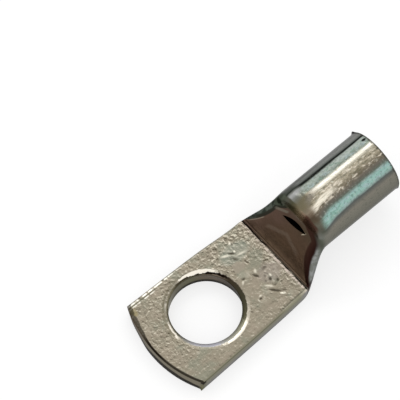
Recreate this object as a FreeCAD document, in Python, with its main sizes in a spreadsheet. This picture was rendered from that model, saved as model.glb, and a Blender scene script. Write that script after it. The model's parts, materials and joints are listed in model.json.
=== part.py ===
import FreeCAD, Part
import math
import os
import Sketcher
from FreeCAD import Placement, Rotation, Vector

# Tinned copper cable lug for 16 mm2 conductor and an M8 stud: one length of round tube,
# pressed flat at one end.
# Frame: origin on the axis of the stud hole, in the contact face of the palm.
# +X runs along the barrel to its open mouth, +Z is up, millimetres.

doc = FreeCAD.newDocument("cable_lug")

# driving dimensions
sizes = {
    # tube
    "tubeOuter": 7.7,        # outside diameter of the barrel
    "tubeBore": 5.4,         # inside diameter of the barrel
    "axisHeight": 5.6,       # tube axis above the contact face
    "mouthPos": 24.8,        # open end of the barrel
    "mouthEdge": 0.15,       # broken edges of the mouth
    # palm
    "palmThick": 2.3,        # both tube walls pressed together
    "palmEnd": 7.5,          # stud axis to the crown of the rounded end
    "palmEndRadius": 12.4,   # crown radius of the end
    "palmEndHalf": 6.15,     # half width at the two end corners
    "palmFootPos": 9.3,      # the sides start to draw in towards the barrel
    "palmFootHalf": 5.75,    # half width there
    "foldRadius": 0.4,       # folded long edges of the palm
    "studHole": 8.4,         # clearance hole for M8
    "rimRadius": 0.3,        # upper rim of the stud hole, drawn in by the punch
    # flat ramp pressed into the top of the tube, and the round shoulder behind it
    "rampFoot": 10.0,
    "rampAngle": 56.0,
    "crestPos": 13.35,
    "shoulderPos": 14.9,     # where the shoulder meets the top of the barrel
    "shoulderRadius": 2.6,
    # step on the underside
    "stepFoot": 11.2,
    "stepTop": 12.9,
    # neck: station, half width, underside, top and corner radius, from palm to barrel
    "neckFootPos": 10.2,
    "neckFootHalf": 5.45,
    "neckFootTop": 3.2,
    "neckFootRadius": 1.1,
    "neckLowPos": 11.1,
    "neckLowHalf": 4.9,
    "neckLowTop": 5.2,
    "neckLowRadius": 2.1,
    "neckMidPos": 12.1,
    "neckMidHalf": 4.3,
    "neckMidUnder": 0.7,
    "neckMidTop": 7.2,
    "neckMidRadius": 2.9,
    "neckHighPos": 13.0,
    "neckHighHalf": 3.95,
    "neckHighUnder": 1.4,
    "neckHighTop": 8.4,
    "neckHighRadius": 3.4,
    "neckEnd": 14.1,
    # closed end of the bore, flattened between the ramp and the underside
    "boreEnd": 15.0,         # the bore is round from the mouth to here
    "taperMidPos": 13.2,
    "taperMidHalf": 3.05,
    "taperMidLow": 2.75,
    "taperMidTop": 5.0,
    "taperMidRadius": 0.9,
    "taperEndPos": 11.6,
    "taperEndHalf": 3.3,
    "taperEndLow": 1.3,
    "taperEndTop": 1.7,
    "taperEndRadius": 0.15,
    # inspection hole, squashed to a slit across the ramp
    "slitLength": 3.0,
    "slitWidth": 0.6,
    "slitDepth": 2.2,
    "slitUp": 4.95,          # from the ramp's foot, measured along the ramp
}
sheet = doc.addObject("Spreadsheet::Sheet", "Sizes")
for row, (alias, number) in enumerate(sizes.items(), start=1):
    sheet.set("A%d" % row, alias)
    sheet.set("B%d" % row, str(number))
    sheet.setAlias("B%d" % row, alias)
doc.recompute()

lug = doc.addObject("PartDesign::Body", "CableLug")
lug.Label = "cable_lug"
planes = {feature.Role: feature for feature in lug.Origin.OriginFeatures}
sideSpan = 40.0              # degrees of a divided circle that face a straight side
clear = 8.0                  # how far a cutting profile reaches past the metal


def cell(expression):
    """The present value of an expression on the sheet."""
    return sheet.evalExpression(expression)


def sketchOn(role, name, offset="0"):
    """An empty sketch on one of the body's planes, moved along its normal."""
    sketch = lug.newObject("Sketcher::SketchObject", name)
    sketch.AttachmentSupport = (planes[role], [""])
    sketch.MapMode = "FlatFace"
    sketch.AttachmentOffset = Placement(Vector(0, 0, cell(offset)), Rotation())
    sketch.setExpression("AttachmentOffset.Base.z", offset)
    return sketch


def measure(sketch, kind, *where, to):
    """A dimension of the sketch, bound to an expression on the sheet."""
    index = sketch.addConstraint(Sketcher.Constraint(kind, *where, cell(to)))
    sketch.setExpression("Constraints[%d]" % index, to)


def tie(sketch, kind, *where):
    sketch.addConstraint(Sketcher.Constraint(kind, *where))


def roundedSection(name, station, half, low, high, lowRadius, highRadius):
    """A cross-section of the tube at one station: a rounded box, the same left and right."""
    sketch = sketchOn("YZ_Plane", name, station)
    wide, bottom, top, r1, r2 = (cell(e) for e in (half, low, high, lowRadius, highRadius))

    def corner(y, z, radius, start):
        circle = Part.Circle(Vector(y, z, 0), Vector(0, 0, 1), radius)
        return Part.ArcOfCircle(circle, math.radians(start), math.radians(start + 90))

    sketch.addGeometry([
        Part.LineSegment(Vector(r1 - wide, bottom, 0), Vector(wide - r1, bottom, 0)),
        corner(wide - r1, bottom + r1, r1, 270),
        Part.LineSegment(Vector(wide, bottom + r1, 0), Vector(wide, top - r2, 0)),
        corner(wide - r2, top - r2, r2, 0),
        Part.LineSegment(Vector(wide - r2, top, 0), Vector(r2 - wide, top, 0)),
        corner(r2 - wide, top - r2, r2, 90),
        Part.LineSegment(Vector(-wide, top - r2, 0), Vector(-wide, bottom + r1, 0)),
        corner(r1 - wide, bottom + r1, r1, 180),
    ])
    for edge in range(8):
        tie(sketch, "Tangent", edge, 2, (edge + 1) % 8, 1)
    tie(sketch, "Symmetric", 0, 1, 0, 2, -2)
    tie(sketch, "Vertical", 2)
    tie(sketch, "Horizontal", 4)
    tie(sketch, "Vertical", 6)
    tie(sketch, "Equal", 1, 7)
    tie(sketch, "Equal", 3, 5)
    measure(sketch, "DistanceX", -1, 1, 2, 1, to=half)
    measure(sketch, "DistanceY", -1, 1, 0, 1, to=low)
    measure(sketch, "DistanceY", -1, 1, 4, 1, to=high)
    measure(sketch, "Radius", 1, to=lowRadius)
    measure(sketch, "Radius", 3, to=highRadius)
    return sketch


def roundSection(name, station, diameter):
    """A circle around the tube's axis at one station."""
    radius = diameter + " / 2"
    sketch = sketchOn("YZ_Plane", name, station)
    sketch.addGeometry(Part.Circle(Vector(0, cell("Sizes.axisHeight"), 0), Vector(0, 0, 1), cell(radius)))
    tie(sketch, "PointOnObject", 0, 3, -2)
    measure(sketch, "DistanceY", -1, 1, 0, 3, to="Sizes.axisHeight")
    measure(sketch, "Radius", 0, to=radius)
    return sketch


def dividedCircle(name, station, diameter):
    """The same circle in eight arcs, to face the eight edges of a rounded section."""
    sketch = sketchOn("YZ_Plane", name, station)
    radius = diameter + " / 2"
    circle = Part.Circle(Vector(0, cell("Sizes.axisHeight"), 0), Vector(0, 0, 1), cell(radius))
    turn = 270 - sideSpan / 2
    for edge in range(8):
        span = 90 - sideSpan if edge % 2 else sideSpan
        arc = Part.ArcOfCircle(circle, math.radians(turn), math.radians(turn + span))
        sketch.addGeometry(arc)
        sketch.addConstraint(Sketcher.Constraint("Angle", edge, math.radians(span)))
        if edge:
            tie(sketch, "Coincident", edge - 1, 2, edge, 1)
            tie(sketch, "Coincident", 0, 3, edge, 3)
        turn += span
    tie(sketch, "PointOnObject", 0, 3, -2)
    measure(sketch, "DistanceX", 0, 1, -1, 1, to="%s * sin(%s)" % (radius, sideSpan / 2))
    measure(sketch, "DistanceY", -1, 1, 0, 3, to="Sizes.axisHeight")
    measure(sketch, "Radius", 0, to=radius)
    return sketch


def bow(start, end, radius):
    """An arc of the given radius from start to end, curving to the right."""
    chord = end - start
    depth = math.sqrt(radius ** 2 - (chord.Length / 2) ** 2)
    centre = (start + end) / 2 + Vector(chord.y, -chord.x, 0).normalize() * depth
    circle = Part.Circle(centre, Vector(0, 0, 1), radius)
    return Part.ArcOfCircle(circle, circle.parameter(end), circle.parameter(start))


def outlineSketch(role, name, corners, bows):
    """A closed outline, each corner held by two expressions.

    Its sides are straight, apart from those that bows gives a radius.
    """
    sketch = sketchOn(role, name)
    points = [Vector(cell(x), cell(y), 0) for x, y in corners]
    count = len(points)
    for i in range(count):
        ends = points[i], points[(i + 1) % count]
        sketch.addGeometry(bow(*ends, cell(bows[i])) if i in bows else Part.LineSegment(*ends))
    for i, (x, y) in enumerate(corners):
        # an arc is drawn from its far end back
        start, lastEnd = (2 if i in bows else 1), (1 if (i - 1) % count in bows else 2)
        tie(sketch, "Coincident", (i - 1) % count, lastEnd, i, start)
        measure(sketch, "DistanceX", -1, 1, i, start, to=x)
        measure(sketch, "DistanceY", -1, 1, i, start, to=y)
    for i, radius in bows.items():
        measure(sketch, "Radius", i, to=radius)
    return sketch


def cutThrough(name, profile):
    """A pocket through everything, both ways from the sketch."""
    pocket = lug.newObject("PartDesign::Pocket", name)
    pocket.Profile = profile
    pocket.Type = "ThroughAll"
    pocket.Midplane = True
    return pocket


def edgesWhere(test):
    """Names of the tip's edges that pass a test of the edge."""
    doc.recompute()
    shape = lug.Tip.Shape
    return ["Edge%d" % (i + 1) for i, edge in enumerate(shape.Edges) if test(edge)]


def roundEdges(name, radius, test):
    names = edgesWhere(test)
    fillet = lug.newObject("PartDesign::Fillet", name)
    fillet.Base = (fillet.BaseFeature, names)
    fillet.setExpression("Radius", radius)
    print(name, len(names), "edges")
    return fillet


def buildPalm():
    """The flattened end: tapered sides and a shallow round end with two sharp corners."""
    sketch = sketchOn("XY_Plane", "PalmOutline")
    foot, footHalf, endHalf = (cell("Sizes." + n) for n in ("palmFootPos", "palmFootHalf", "palmEndHalf"))
    radius = cell("Sizes.palmEndRadius")
    centre = radius - cell("Sizes.palmEnd")
    sweep = math.asin(endHalf / radius)
    cornerX = centre - radius * math.cos(sweep)
    crown = Part.Circle(Vector(centre, 0, 0), Vector(0, 0, 1), radius)
    sketch.addGeometry([
        Part.LineSegment(Vector(cornerX, -endHalf, 0), Vector(foot, -footHalf, 0)),
        Part.LineSegment(Vector(foot, -footHalf, 0), Vector(foot, footHalf, 0)),
        Part.LineSegment(Vector(foot, footHalf, 0), Vector(cornerX, endHalf, 0)),
        Part.ArcOfCircle(crown, math.pi - sweep, math.pi + sweep),
    ])
    for edge in range(4):
        tie(sketch, "Coincident", edge, 2, (edge + 1) % 4, 1)
    tie(sketch, "Symmetric", 1, 1, 1, 2, -1)
    tie(sketch, "Symmetric", 3, 1, 3, 2, -1)
    tie(sketch, "PointOnObject", 3, 3, -1)
    measure(sketch, "DistanceX", -1, 1, 1, 1, to="Sizes.palmFootPos")
    measure(sketch, "DistanceY", 1, 1, 1, 2, to="2 * Sizes.palmFootHalf")
    measure(sketch, "DistanceY", 3, 2, 3, 1, to="2 * Sizes.palmEndHalf")
    measure(sketch, "Radius", 3, to="Sizes.palmEndRadius")
    measure(sketch, "DistanceX", -1, 1, 3, 3, to="Sizes.palmEndRadius - Sizes.palmEnd")
    palm = lug.newObject("PartDesign::Pad", "Palm")
    palm.Profile = sketch
    palm.setExpression("Length", "Sizes.palmThick")
    roundEdges("FoldedEdges", "Sizes.foldRadius", isLongSide)


def isLongSide(edge):
    """The four long edges of the palm, where the tube is folded."""
    box = edge.BoundBox
    return box.ZLength < 1e-6 and box.XLength > 10 and box.YLength < 2


def buildNeck():
    """The tube opens from the palm's flat section to the full round barrel."""
    sections = [
        roundedSection("NeckPalm", "Sizes.palmFootPos", "Sizes.palmFootHalf", "0", "Sizes.palmThick",
                       "Sizes.foldRadius", "Sizes.foldRadius"),
        roundedSection("NeckFoot", "Sizes.neckFootPos", "Sizes.neckFootHalf", "0", "Sizes.neckFootTop",
                       "Sizes.neckFootRadius", "Sizes.neckFootRadius"),
        roundedSection("NeckLow", "Sizes.neckLowPos", "Sizes.neckLowHalf", "0", "Sizes.neckLowTop",
                       "Sizes.neckLowRadius", "Sizes.neckLowRadius"),
        roundedSection("NeckMid", "Sizes.neckMidPos", "Sizes.neckMidHalf", "Sizes.neckMidUnder",
                       "Sizes.neckMidTop", "Sizes.neckMidRadius", "Sizes.neckMidRadius"),
        roundedSection("NeckHigh", "Sizes.neckHighPos", "Sizes.neckHighHalf", "Sizes.neckHighUnder",
                       "Sizes.neckHighTop", "Sizes.neckHighRadius", "Sizes.neckHighRadius"),
        dividedCircle("NeckRound", "Sizes.neckEnd", "Sizes.tubeOuter"),
    ]
    neck = lug.newObject("PartDesign::AdditiveLoft", "Neck")
    neck.Profile = sections[0]
    neck.Sections = sections[1:]
    neck.Ruled = False


def buildBarrel():
    """The round tube, still solid."""
    barrel = lug.newObject("PartDesign::Pad", "Barrel")
    barrel.Profile = roundSection("BarrelOutline", "Sizes.neckEnd", "Sizes.tubeOuter")
    barrel.setExpression("Length", "Sizes.mouthPos - Sizes.neckEnd")


def pressRamp():
    """The upper die leaves a flat ramp over the palm's end and a round shoulder above it."""
    crest = "Sizes.palmThick + (Sizes.crestPos - Sizes.rampFoot) * tan(Sizes.rampAngle)"
    top = "Sizes.axisHeight + Sizes.tubeOuter / 2"
    above = top + " + %s" % clear
    profile = outlineSketch("XZ_Plane", "RampDie", [
        ("Sizes.palmFootPos", "Sizes.palmThick"),
        ("Sizes.rampFoot", "Sizes.palmThick"),
        ("Sizes.crestPos", crest),
        ("Sizes.shoulderPos", top),
        ("Sizes.shoulderPos", above),
        ("Sizes.palmFootPos", above),
    ], {2: "Sizes.shoulderRadius"})
    cutThrough("Ramp", profile)


def pressStep():
    """The lower die holds the contact face proud of the barrel."""
    low = "Sizes.axisHeight - Sizes.tubeOuter / 2"
    profile = outlineSketch("XZ_Plane", "StepDie", [
        ("Sizes.palmFootPos", "0"),
        ("Sizes.palmFootPos", "-%s" % clear),
        ("Sizes.stepTop", "-%s" % clear),
        ("Sizes.stepTop", low),
        ("Sizes.stepFoot", "0"),
    ], {})
    cutThrough("Step", profile)


def openBore():
    """The round bore, then the flattened end of the cavity between the two walls."""
    bore = lug.newObject("PartDesign::Pocket", "Bore")
    bore.Profile = roundSection("BoreOutline", "Sizes.mouthPos", "Sizes.tubeBore")
    bore.setExpression("Length", "Sizes.mouthPos - Sizes.boreEnd")
    sections = [
        dividedCircle("TaperRound", "Sizes.boreEnd", "Sizes.tubeBore"),
        roundedSection("TaperMid", "Sizes.taperMidPos", "Sizes.taperMidHalf", "Sizes.taperMidLow",
                       "Sizes.taperMidTop", "Sizes.taperMidRadius", "Sizes.taperMidRadius"),
        roundedSection("TaperEnd", "Sizes.taperEndPos", "Sizes.taperEndHalf", "Sizes.taperEndLow",
                       "Sizes.taperEndTop", "Sizes.taperEndRadius", "Sizes.taperEndRadius"),
    ]
    taper = lug.newObject("PartDesign::SubtractiveLoft", "BoreTaper")
    taper.Profile = sections[0]
    taper.Sections = sections[1:]
    taper.Ruled = True
    roundEdges("MouthEdges", "Sizes.mouthEdge", isMouthEdge)


def isMouthEdge(edge):
    """The outer and the inner circle of the open end."""
    return edge.BoundBox.XMin > cell("Sizes.mouthPos") - 0.01


def pierceStudHole():
    sketch = sketchOn("XY_Plane", "StudHoleOutline")
    sketch.addGeometry(Part.Circle(Vector(0, 0, 0), Vector(0, 0, 1), cell("Sizes.studHole / 2")))
    tie(sketch, "Coincident", 0, 3, -1, 1)
    measure(sketch, "Radius", 0, to="Sizes.studHole / 2")
    cutThrough("StudHole", sketch)
    roundEdges("StudHoleRim", "Sizes.rimRadius", isStudRim)


def isStudRim(edge):
    """The circle around the stud's axis in the palm's upper face."""
    box = edge.BoundBox
    return box.ZMin > cell("Sizes.palmThick") - 0.01 and abs(box.XLength - cell("Sizes.studHole")) < 0.01


def squashSlit():
    """The inspection hole, closed to a slit that runs across the ramp into the cavity."""
    sketch = lug.newObject("Sketcher::SketchObject", "SlitOutline")
    sketch.AttachmentSupport = (planes["XY_Plane"], [""])
    sketch.MapMode = "FlatFace"
    sketch.AttachmentOffset = Placement(Vector(), Rotation(Vector(0, -1, 0), cell("Sizes.rampAngle")))
    sketch.setExpression("AttachmentOffset.Base.x",
                         "Sizes.rampFoot + Sizes.slitUp * cos(Sizes.rampAngle)")
    sketch.setExpression("AttachmentOffset.Base.z",
                         "Sizes.palmThick + Sizes.slitUp * sin(Sizes.rampAngle)")
    sketch.setExpression("AttachmentOffset.Rotation.Angle", "Sizes.rampAngle")
    half, radius = cell("Sizes.slitLength / 2 - Sizes.slitWidth / 2"), cell("Sizes.slitWidth / 2")

    def roundEnd(y, begin):
        circle = Part.Circle(Vector(0, y, 0), Vector(0, 0, 1), radius)
        return Part.ArcOfCircle(circle, math.radians(begin), math.radians(begin + 180))

    sketch.addGeometry([
        Part.LineSegment(Vector(radius, -half, 0), Vector(radius, half, 0)),
        roundEnd(half, 0),
        Part.LineSegment(Vector(-radius, half, 0), Vector(-radius, -half, 0)),
        roundEnd(-half, 180),
    ])
    for edge in range(4):
        tie(sketch, "Tangent", edge, 2, (edge + 1) % 4, 1)
    tie(sketch, "Vertical", 0)
    tie(sketch, "Symmetric", 1, 3, 3, 3, -1, 1)
    measure(sketch, "DistanceY", 3, 3, 1, 3, to="Sizes.slitLength - Sizes.slitWidth")
    measure(sketch, "Radius", 1, to="Sizes.slitWidth / 2")
    slit = lug.newObject("PartDesign::Pocket", "InspectionSlit")
    slit.Profile = sketch
    slit.setExpression("Length", "Sizes.slitDepth")


def check():
    """Every object computed, one valid solid in the body."""
    doc.recompute()
    for thing in doc.Objects:
        for state in thing.State:
            if "Invalid" in state or "Error" in state:
                raise RuntimeError("%s: %s" % (thing.Label, thing.State))
    shape = lug.Shape
    if shape.isNull() or not shape.isValid() or len(shape.Solids) != 1:
        raise RuntimeError("cable_lug is not one valid solid")
    return shape


buildPalm()
buildNeck()
buildBarrel()
pressRamp()
pressStep()
openBore()
pierceStudHole()
squashSlit()
shape = check()

os.makedirs("parts", exist_ok=True)
shape.exportStep("parts/%s.step" % lug.Label)
box = shape.optimalBoundingBox()
print("cable_lug %.2f x %.2f x %.2f mm, %.1f mm3, %d faces"
      % (box.XLength, box.YLength, box.ZLength, shape.Volume, len(shape.Faces)))
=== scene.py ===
import json
import math

import bmesh
import bpy
from mathutils import Matrix, Vector


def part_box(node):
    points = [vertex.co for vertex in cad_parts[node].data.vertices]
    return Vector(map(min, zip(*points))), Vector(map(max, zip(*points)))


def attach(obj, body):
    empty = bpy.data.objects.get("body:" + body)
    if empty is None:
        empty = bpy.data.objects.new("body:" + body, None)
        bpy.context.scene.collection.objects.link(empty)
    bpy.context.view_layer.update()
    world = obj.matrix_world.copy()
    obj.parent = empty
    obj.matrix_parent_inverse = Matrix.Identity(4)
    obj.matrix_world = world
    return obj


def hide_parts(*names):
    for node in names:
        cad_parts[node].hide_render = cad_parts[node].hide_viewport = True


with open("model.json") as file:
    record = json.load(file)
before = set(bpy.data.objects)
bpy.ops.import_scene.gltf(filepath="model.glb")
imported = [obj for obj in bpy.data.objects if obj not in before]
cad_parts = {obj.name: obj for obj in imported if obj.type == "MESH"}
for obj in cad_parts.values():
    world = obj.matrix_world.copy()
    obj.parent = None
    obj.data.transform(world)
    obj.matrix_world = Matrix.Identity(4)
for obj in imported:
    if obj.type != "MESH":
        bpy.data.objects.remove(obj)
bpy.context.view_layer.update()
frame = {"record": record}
print("frame loaded")

mm = 0.001
mounts = {mount["name"]: mount for mount in frame["record"]["mounts"]}
lugLow, lugHigh = (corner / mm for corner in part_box("cable_lug"))

# sizes taken from the frame, millimetres
palmTop = mounts["washer_seat"]["pos_m"][2] / mm
studRadius = mounts["stud_hole"]["dims"]["r_mm"]
boreRadius = mounts["barrel_bore"]["dims"]["r_mm"]
axisHeight = mounts["barrel_bore"]["pos_m"][2] / mm
tubeRadius = lugHigh.z - axisHeight
mouthX = lugHigh.x
endX = lugLow.x
endHalf = lugHigh.y


def mix(a, b, amount):
    return a + (b - a) * amount


def ease(low, high, value):
    t = min(max((value - low) / (high - low), 0), 1)
    return t * t * (3 - 2 * t)


def hill(value, middle, width):
    return math.exp(-((value - middle) / width) ** 2)


def softLess(a, b, radius):
    # the lower of two heights, with the corner between them rounded off
    t = min(max(0.5 + 0.5 * (b - a) / radius, 0), 1)
    return mix(b, a, t) - radius * t * (1 - t)


# the lug's skin is a sheet wrapped round, then pressed like the tube it is made from
lug = {
    "columns": 224,            # quads round the tube
    "mergeWithin": 0.002,      # points closer than this become one
    "crispAngle": 38,          # edges that turn more than this stay crisp
    "endRadius": 12.4,         # crown of the sheared end
    "endSkew": 0.35,           # the shear cut the left corner longer
    "skewFrom": 2.5,           # from this far off the middle
    "endRollTop": 0.2,         # sheared edge, rolled over at the top
    "endRollCorner": 0.34,     # and more at the left corner
    "endRollLow": 0.05,
    "endTuck": 0.28,           # underside of the left corner, cut short by the slanting shear
    "tuckFrom": 1,
    "leftIn": 0.018,           # share by which the left edge is pressed in before the ramp
    "leftInAt": 7.5,
    "burr": 0.3,               # tip that the shear left at the right corner
    "footX": 10.0,             # ramp
    "footGroove": 0.02,
    "dentDepth": 0.07,
    "waveHeight": 0.008,       # low, uneven waves left by the press
    "proudest": 0.12,          # nothing stands higher above the palm
    "markGain": 8,             # how strongly the marks show as painted shade and highlight
    "rampAngle": 56,
    "crestX": 13.35,
    "shoulderX": 14.9,         # where the shoulder meets the top of the barrel
    "shoulderRadius": 2.6,
    "dieFrom": 8.6,            # stretch that the die presses
    "dieTo": 16.0,
    "facetRound": 0.9,         # rounding of the ramp's side edges
    "shoulderSoft": 0.9,       # rounding of the shoulder's upper edge
    "stepFrom": 11.0,          # step on the underside
    "stepTo": 13.1,
    "boreEnd": 15.0,
    "mouthRound": 0.05,
    "mouthBurr": 0.24,         # tips left by the saw at the sides of the mouth
    "burrAngles": (74, -108),  # where they stand, round from the top
}
rampSlope = math.radians(lug["rampAngle"])

# tube sections: distance, half width, widest height, rise above it,
# flat shares of the top, the underside and the side walls
sections = [
    (-6.0, endHalf, 1.15, 1.15, 0.945, 0.93, 0.66),
    (5.0, 5.80, 1.15, 1.15, 0.94, 0.92, 0.62),
    (8.6, 5.64, 1.15, 1.15, 0.91, 0.90, 0.50),
    (9.6, 5.58, 1.20, 1.45, 0.87, 0.84, 0.36),
    (10.2, 5.42, 1.45, 2.10, 0.70, 0.74, 0.16),
    (11.1, 5.00, 2.30, 3.60, 0.25, 0.57, 0.00),
    (12.1, 4.47, 3.40, 3.50, 0.05, 0.30, 0.00),
    (13.0, 4.06, 4.60, 3.55, 0.00, 0.12, 0.00),
    (13.8, 3.86, 5.40, 3.85, 0.00, 0.02, 0.00),
    (14.4, tubeRadius, axisHeight, tubeRadius, 0.00, 0.00, 0.00),
    (mouthX + 1, tubeRadius, axisHeight, tubeRadius, 0.00, 0.00, 0.00),
]

# closed end of the bore: distance, half width, middle height, half height
taper = [
    (lug["boreEnd"], boreRadius, axisHeight, boreRadius),
    (13.2, 3.05, 3.88, 1.12),
    (11.6, 3.30, 1.50, 0.04),
]

# dents in the palm: distance along, across, turn, half length, half width, how deep
dents = [
    (6.46, 3.18, -42, 0.47, 0.15, 1.22),
    (5.75, 3.70, -38, 0.59, 0.14, 0.54),
    (6.35, 2.35, -55, 0.59, 0.23, 0.61),
    (7.20, 3.95, 80, 0.29, 0.16, 0.81),
    (7.05, 1.38, -60, 0.34, 0.21, 0.68),
    (5.42, 0.04, -20, 0.26, 0.15, 1.35),
    (6.70, -0.52, -62, 0.49, 0.16, 1.35),
    (7.68, -1.86, 60, 0.26, 0.18, 1.35),
    (7.44, -1.25, 55, 0.34, 0.15, 0.81),
    (7.13, -1.75, 80, 0.21, 0.15, 0.81),
    (8.00, -0.45, 20, 0.59, 0.30, 0.68),
    (8.22, -2.47, 50, 0.34, 0.21, 0.94),
    (7.66, -2.72, -10, 0.26, 0.16, 0.81),
    (7.12, -3.16, -47, 0.81, 0.16, 1.35),
    (8.00, -3.85, -50, 0.39, 0.14, 0.81),
    (5.34, -2.93, 10, 0.21, 0.16, 1.22),
    (6.00, -3.40, 85, 0.59, 0.14, 0.47),
    (9.00, 3.20, 30, 0.39, 0.15, 0.54),
    (8.85, 0.90, 60, 0.29, 0.15, 0.61),
    (9.15, -1.60, 70, 0.39, 0.14, 0.54),
    (-5.30, 4.10, 35, 0.35, 0.14, 0.40),
    (-4.60, 1.90, 120, 0.25, 0.14, 0.35),
]

# raised burrs and bruises beside them
burrs = [
    (5.55, 3.42, -30, 0.95, 0.17, 0.42),
    (7.25, 2.50, -14, 0.85, 0.16, 0.42),
    (6.82, 3.12, 60, 0.17, 0.13, 1.0),
    (7.12, 4.18, 10, 0.20, 0.15, 0.9),
    (8.10, 4.50, 30, 0.22, 0.15, 0.5),
    (5.05, -0.30, 40, 0.40, 0.16, 0.5),
    (7.05, -0.05, 60, 0.35, 0.18, 0.5),
    (6.90, -2.28, -43, 0.75, 0.15, 0.45),
    (7.58, -4.02, -35, 0.30, 0.13, 1.6),
    (7.95, -1.55, 70, 0.28, 0.13, 0.6),
    (5.45, -2.68, 10, 0.26, 0.12, 0.6),
    (5.02, -2.95, 80, 0.22, 0.12, 0.5),
    (9.20, -0.55, -60, 0.40, 0.12, 0.5),
]


def slopeBetween(near, far, k, slope):
    # the curve's slope where two stretches of the section table meet, level at a turning point
    if near is far:
        return slope
    meeting = (slope + (far[k] - near[k]) / (far[0] - near[0])) / 2
    return meeting if meeting * slope > 0 else 0


def sectionAt(x):
    # a smooth curve through the section table
    x = min(max(x, sections[0][0]), sections[-1][0])
    i = max(k for k in range(len(sections) - 1) if sections[k][0] <= x)
    a, b = sections[i], sections[i + 1]
    before, after = sections[max(i - 1, 0)], sections[min(i + 2, len(sections) - 1)]
    span = b[0] - a[0]
    t = (x - a[0]) / span
    values = []
    for k in range(1, len(a)):
        slope = (b[k] - a[k]) / span
        startSlope, endSlope = slopeBetween(before, a, k, slope), slopeBetween(b, after, k, slope)
        values.append(a[k] * (1 + 2 * t) * (1 - t) ** 2 + b[k] * t * t * (3 - 2 * t)
                      + startSlope * span * t * (1 - t) ** 2 + endSlope * span * t * t * (t - 1))
    return values


def quarterLength(a, b):
    return math.pi / 2 * math.sqrt((a * a + b * b) / 2)


# share of the columns on a half section's flat underside, low corner, wall, top corner and top
columnShares = (0.33, 0.09, 0.08, 0.11, 0.39)


def tubeSection(turn, half, middle, rise, drop, topFlat, lowFlat, wall, pressed):
    # a point of a flattened round, turn 0 at the bottom and 0.5 at the top,
    # with the columns shared out evenly where pressed is 0
    side = 1 if turn <= 0.5 else -1
    lowTall, topTall = drop * (1 - wall), rise * (1 - wall)
    lengths = [lowFlat, quarterLength(half - lowFlat, lowTall), (drop + rise) * wall,
               quarterLength(half - topFlat, topTall), topFlat]
    column = min(turn, 1 - turn) * 2
    way, passed = 0, 0
    for length, share in zip(lengths, columnShares):
        way += length * min(max((column - passed) / share, 0), 1)
        passed += share
    way = mix(column * sum(lengths), way, pressed)
    if way < lengths[0]:
        return side * way, middle - drop
    way -= lengths[0]
    if way < lengths[1]:
        angle = way / lengths[1] * math.pi / 2
        return (side * (lowFlat + (half - lowFlat) * math.sin(angle)),
                middle - drop + lowTall * (1 - math.cos(angle)))
    way -= lengths[1]
    if way < lengths[2]:
        return side * half, middle - drop + lowTall + way
    way -= lengths[2]
    if way < lengths[3]:
        angle = way / lengths[3] * math.pi / 2
        return (side * (topFlat + (half - topFlat) * math.cos(angle)),
                middle + rise - topTall * (1 - math.sin(angle)))
    way -= lengths[3]
    return side * max(topFlat - way, 0), middle + rise


def dieHeight(x):
    # underside of the die that presses the palm, the ramp and the shoulder
    slope = math.tan(rampSlope)
    ramp = palmTop + (x - lug["footX"]) * slope
    if x <= lug["crestX"]:
        return max(palmTop, ramp)
    crest = Vector((lug["crestX"], palmTop + (lug["crestX"] - lug["footX"]) * slope))
    top = Vector((lug["shoulderX"], axisHeight + tubeRadius))
    chord = top - crest
    radius = lug["shoulderRadius"]
    centre = (crest + top) / 2 + Vector((chord.y, -chord.x)).normalized() * math.sqrt(
        radius ** 2 - chord.length_squared / 4)
    return centre.y + math.sqrt(max(radius ** 2 - (x - centre.x) ** 2, 0))


def endArc(y):
    # where the sheared end lies, from the middle out to the corners
    radius = lug["endRadius"]
    skew = lug["endSkew"] * ease(lug["skewFrom"], endHalf, y)
    return endX + radius - math.sqrt(radius * radius - y * y) - skew


def endBend(x):
    # how far the rows follow the round end, from none over the stud hole to fully at the end
    return ease(-1.0, endX, x)


def palmMarks(x, y):
    # how high the dents, burrs, waves and the groove along the ramp's foot leave the palm
    height = 0
    for depth, marks in ((-lug["dentDepth"], dents), (lug["dentDepth"], burrs)):
        for placeX, placeY, turn, long, wide, deep in marks:
            across, up = x - placeX, y - placeY
            if max(abs(across), abs(up)) < 3 * long:
                c, s = math.cos(math.radians(turn)), math.sin(math.radians(turn))
                reach = ((across * c + up * s) / long) ** 2 + ((up * c - across * s) / wide) ** 2
                # the metal pushed aside stands round the mark as a low rim
                height += depth * deep * (math.exp(-reach) - 0.3 * math.exp(-0.3 * reach))
    waves = lug["waveHeight"] * math.sin(1.3 * x + 0.9 * math.sin(1.1 * y))
    height += waves * math.sin(1.7 * y + 0.8)
    return height - lug["footGroove"] * hill(x, lug["footX"], 0.08)


def outerPoint(x, turn):
    bend = endBend(x)
    half, middle, rise, topShare, lowShare, wall = sectionAt(x + (endArc(-endHalf) - endX) * bend)
    low = ease(lug["stepFrom"], lug["stepTo"], x) * (axisHeight - tubeRadius)
    y, z = tubeSection(turn, half, middle, rise, middle - low, topShare * half, lowShare * half,
                       wall, 1 - ease(9.6, 14.0, x))
    if z > middle and lug["dieFrom"] < x < lug["dieTo"]:
        rounding = mix(lug["facetRound"], lug["shoulderSoft"], ease(13.0, 14.0, x))
        rounding *= ease(9.7, 11.4, x) * (1 - ease(14.8, lug["dieTo"], x))
        # past the shoulder the die is clear of the barrel
        die = dieHeight(x) if x < lug["shoulderX"] else axisHeight + tubeRadius + 0.2
        z = softLess(z, die, rounding + 0.01)
    if y > 0:
        y *= 1 - lug["leftIn"] * hill(x, lug["leftInAt"], 2.5)
    x += (endArc(y) - endX) * bend
    if z > palmTop - 0.03 and x < lug["footX"] + 0.2:
        z += palmMarks(x, y) * ease(half, half - 0.5, abs(y))
        z = min(z, palmTop + lug["proudest"])
    return Vector((x, y, z)) + mouthBurr(x, y, z)


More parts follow.
